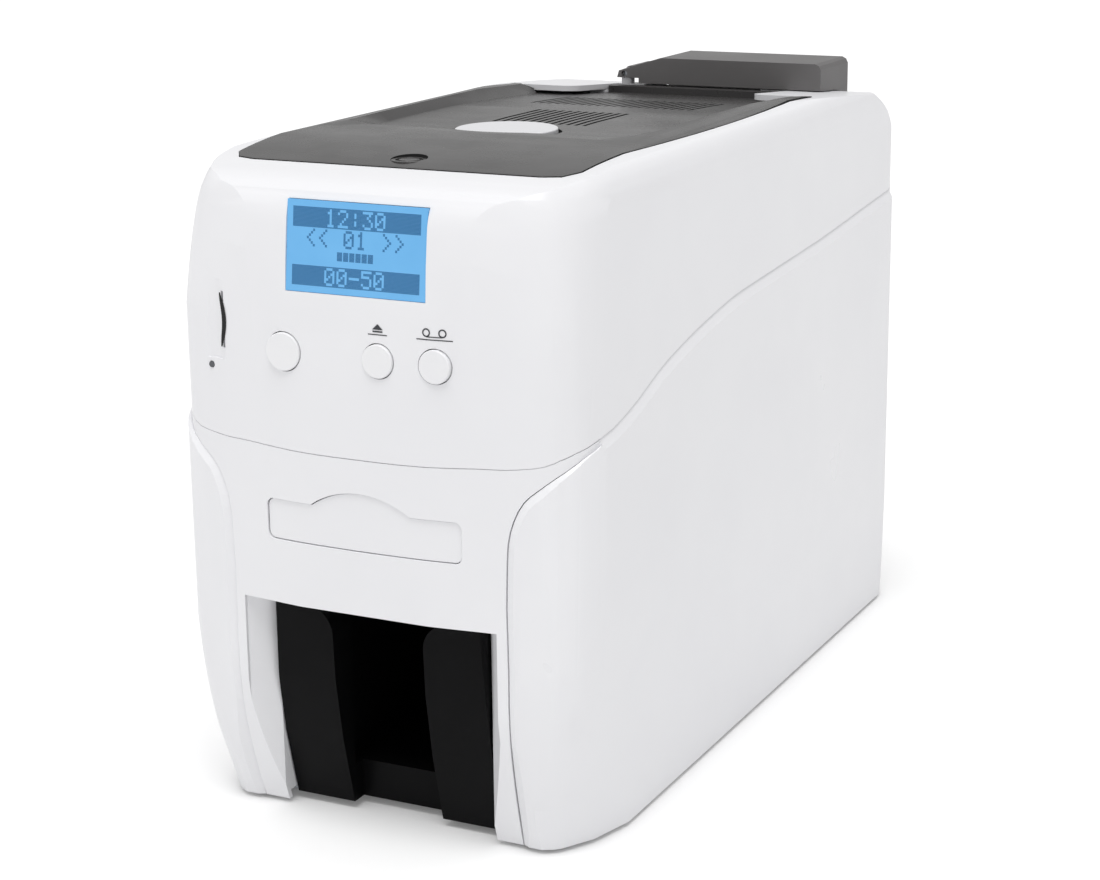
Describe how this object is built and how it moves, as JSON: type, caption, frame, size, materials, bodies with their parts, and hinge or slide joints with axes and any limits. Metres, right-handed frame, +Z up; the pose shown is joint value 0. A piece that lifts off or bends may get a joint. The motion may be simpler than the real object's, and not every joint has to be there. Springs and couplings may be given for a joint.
{
  "type": "ID card printer",
  "caption": "Desktop ID card printer with a hinged top cover, a smoked lid over the card hopper, a display, three keys and a black output hopper.",
  "frame": {"origin": "middle of the underside of the feet, at table height", "axes": "+X to the right seen from the front, +Y to the rear, +Z up"},
  "size_m": [0.187, 0.3895, 0.2815],
  "materials": {
    "white_plastic": "satin",
    "charcoal_plastic": "matte",
    "black_plastic": "satin",
    "smoked_plastic": "gloss",
    "steel": "satin",
    "black_rubber": "matte",
    "blue_rubber": "matte",
    "grey_plastic": "matte",
    "board_green": "matte",
    "window_blue": "gloss"
  },
  "bodies": {
    "printer_body": {"upper_shell": "white_plastic", "lower_front_shell": "white_plastic", "side_panel_left": "white_plastic", "side_panel_right": "white_plastic", "rear_panel": "white_plastic", "base_tray": "steel", "rubber_feet": "black_rubber", "port_plate": "steel", "rear_screws": "steel", "manual_feed_blank": "white_plastic", "cover_hinge_pins": "steel", "lid_hinge_pin": "steel", "card_hopper": "charcoal_plastic", "side_frame_left": "steel", "side_frame_right": "steel", "frame_ties": "steel", "drive_motor": "steel", "drive_belt": "black_plastic", "lcd_module": "board_green", "lcd_window": "window_blue", "key_board": "board_green", "status_led": "window_blue", "memory_card_slot": "steel", "main_board": "board_green", "port_block": "board_green", "power_inlet": "black_plastic", "fan_frame": "black_plastic", "data_sockets": "steel"},
    "cover": {"top_cover": "charcoal_plastic", "cover_plug": "charcoal_plastic", "head_carrier": "steel", "print_head": "grey_plastic", "ribbon_cassette": "grey_plastic", "ribbon_film": "grey_plastic", "ribbon_motor": "steel"},
    "release_button": {"cover_release_button": "white_plastic"},
    "latch": {"cover_latch": "steel"},
    "supply_reel": {"supply_spool": "grey_plastic"},
    "take_up_reel": {"take_up_spool": "grey_plastic"},
    "lid": {"hopper_lid": "smoked_plastic"},
    "weight": {"card_weight": "steel"},
    "pickup": {"pickup_roller": "black_rubber"},
    "cleaner": {"cleaning_roller": "blue_rubber"},
    "feeder": {"feed_roller": "black_rubber"},
    "platen": {"platen_roller": "black_rubber"},
    "ejector": {"exit_roller": "black_rubber"},
    "motor_shaft": {"motor_pulley": "black_plastic"},
    "pinch_rear": {"cleaning_pinch": "black_rubber"},
    "pinch_middle": {"feed_pinch": "black_rubber"},
    "pinch_front": {"exit_pinch": "black_rubber"},
    "key_power": {"power_button": "white_plastic"},
    "key_eject": {"eject_button": "white_plastic"},
    "key_ribbon": {"ribbon_button": "white_plastic"},
    "output_drawer": {"output_hopper": "black_plastic"},
    "rocker": {"power_switch": "black_plastic"},
    "fan": {"fan_rotor": "black_plastic"}
  },
  "joints": [
    {"name": "cover_hinge", "type": "hinge", "parent": "printer_body", "child": "cover", "pos_m": [0, 0.142, 0.26], "axis": [-1, 0, 0], "range_deg": [0, 70]},
    {"name": "release_press", "type": "slide", "parent": "cover", "child": "release_button", "axis": [0, 0, -1], "range_m": [0, 0.0025], "stiffness_N_per_m": 800, "springref_m": -0.001},
    {"name": "latch_slide", "type": "slide", "parent": "cover", "child": "latch", "axis": [0, 1, 0], "range_m": [0, 0.004]},
    {"name": "supply_spin", "type": "hinge", "parent": "cover", "child": "supply_reel", "pos_m": [0, 0.044, 0.194], "axis": [1, 0, 0], "continuous": true},
    {"name": "take_up_spin", "type": "hinge", "parent": "cover", "child": "take_up_reel", "pos_m": [0, -0.044, 0.194], "axis": [1, 0, 0], "continuous": true},
    {"name": "lid_hinge", "type": "hinge", "parent": "printer_body", "child": "lid", "pos_m": [-0.042, 0.17, 0.273], "axis": [0, -1, 0], "range_deg": [0, 100]},
    {"name": "weight_slide", "type": "slide", "parent": "printer_body", "child": "weight", "axis": [0, 0, 1], "range_m": [0, 0.075]},
    {"name": "pickup_spin", "type": "hinge", "parent": "printer_body", "child": "pickup", "pos_m": [0, 0.126, 0.1237], "axis": [1, 0, 0], "continuous": true},
    {"name": "cleaning_spin", "type": "hinge", "parent": "printer_body", "child": "cleaner", "pos_m": [0, 0.084, 0.1237], "axis": [1, 0, 0], "continuous": true},
    {"name": "feed_spin", "type": "hinge", "parent": "printer_body", "child": "feeder", "pos_m": [0, 0.042, 0.1237], "axis": [1, 0, 0], "continuous": true},
    {"name": "platen_spin", "type": "hinge", "parent": "printer_body", "child": "platen", "pos_m": [0, 0, 0.1227], "axis": [1, 0, 0], "continuous": true},
    {"name": "exit_spin", "type": "hinge", "parent": "printer_body", "child": "ejector", "pos_m": [0, -0.06, 0.1237], "axis": [1, 0, 0], "continuous": true},
    {"name": "motor_spin", "type": "hinge", "parent": "printer_body", "child": "motor_shaft", "pos_m": [0.045, 0.04, 0.066], "axis": [1, 0, 0], "continuous": true},
    {"name": "pinch_rear_spin", "type": "hinge", "parent": "printer_body", "child": "pinch_rear", "pos_m": [0, 0.084, 0.1383], "axis": [1, 0, 0], "continuous": true},
    {"name": "pinch_middle_spin", "type": "hinge", "parent": "printer_body", "child": "pinch_middle", "pos_m": [0, 0.042, 0.1383], "axis": [1, 0, 0], "continuous": true},
    {"name": "pinch_front_spin", "type": "hinge", "parent": "printer_body", "child": "pinch_front", "pos_m": [0, -0.06, 0.1383], "axis": [1, 0, 0], "continuous": true},
    {"name": "power_press", "type": "slide", "parent": "printer_body", "child": "key_power", "axis": [0, 1, 0], "range_m": [0, 0.001], "stiffness_N_per_m": 700, "springref_m": -0.0005},
    {"name": "eject_press", "type": "slide", "parent": "printer_body", "child": "key_eject", "axis": [0, 1, 0], "range_m": [0, 0.001], "stiffness_N_per_m": 700, "springref_m": -0.0005},
    {"name": "ribbon_press", "type": "slide", "parent": "printer_body", "child": "key_ribbon", "axis": [0, 1, 0], "range_m": [0, 0.001], "stiffness_N_per_m": 700, "springref_m": -0.0005},
    {"name": "drawer_slide", "type": "slide", "parent": "printer_body", "child": "output_drawer", "axis": [0, -1, 0], "range_m": [0, 0.1]},
    {"name": "switch_rock", "type": "hinge", "parent": "printer_body", "child": "rocker", "pos_m": [-0.042, 0.186, 0.036], "axis": [1, 0, 0], "range_deg": [-8, 8]},
    {"name": "fan_spin", "type": "hinge", "parent": "printer_body", "child": "fan", "pos_m": [-0.052, 0.185, 0.165], "axis": [0, 1, 0], "continuous": true}
  ],
  "couplings": [
    {"joint": "latch_slide", "follows": "release_press", "ratio": 1.6},
    {"joint": "take_up_spin", "follows": "supply_spin", "ratio": 1},
    {"joint": "pickup_spin", "follows": "motor_spin", "ratio": 1},
    {"joint": "cleaning_spin", "follows": "motor_spin", "ratio": 1},
    {"joint": "feed_spin", "follows": "motor_spin", "ratio": 1},
    {"joint": "platen_spin", "follows": "motor_spin", "ratio": 1},
    {"joint": "exit_spin", "follows": "motor_spin", "ratio": 1},
    {"joint": "pinch_rear_spin", "follows": "motor_spin", "ratio": -1.3333},
    {"joint": "pinch_middle_spin", "follows": "motor_spin", "ratio": -1.3333},
    {"joint": "pinch_front_spin", "follows": "motor_spin", "ratio": -1.3333}
  ]
}
